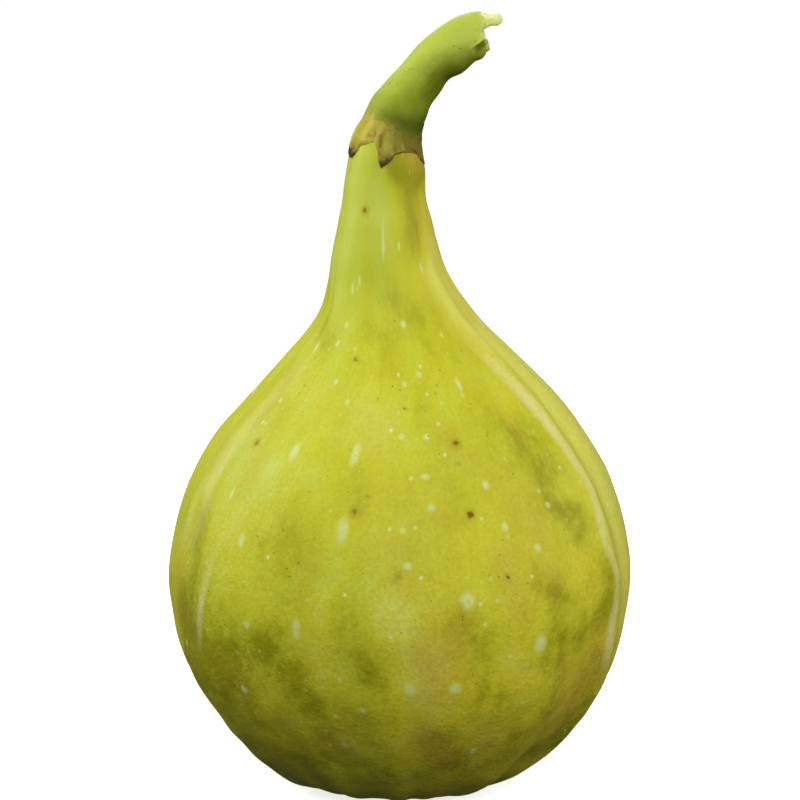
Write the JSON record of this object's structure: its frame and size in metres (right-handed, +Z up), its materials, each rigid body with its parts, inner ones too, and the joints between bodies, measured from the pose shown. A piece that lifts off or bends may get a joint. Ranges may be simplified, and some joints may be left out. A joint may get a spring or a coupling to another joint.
{
  "type": "fresh fig",
  "caption": "Fresh green fig with a ribbed teardrop body, a long neck, dry bracts at the collar and a short bent stalk; it stands on its base.",
  "frame": {"origin": "on the surface the fig stands on, under the middle of its width and depth", "axes": "+Z up from the foot towards the neck; the stalk bends over towards +X; -Y is the side the source picture shows"},
  "size_m": [0.0484, 0.0465, 0.0807],
  "materials": {
    "fig_skin": "yellow-green fruit skin with pale flecks and a faint waxy sheen",
    "stalk_bark": "smooth green bark, darker at its foot and pale where it broke",
    "dry_bract": "dry tan scale with a dark brown tip",
    "eye_scale": "dull reddish-tan scale"
  },
  "bodies": {
    "root": {"fig_body": "fig_skin", "stalk": "stalk_bark", "basal_bract_front": "dry_bract", "basal_bract_left": "dry_bract", "basal_bract_right": "dry_bract", "eye_scale_1": "eye_scale", "eye_scale_2": "eye_scale", "eye_scale_3": "eye_scale", "eye_scale_4": "eye_scale", "eye_scale_5": "eye_scale"}
  },
  "joints": []
}
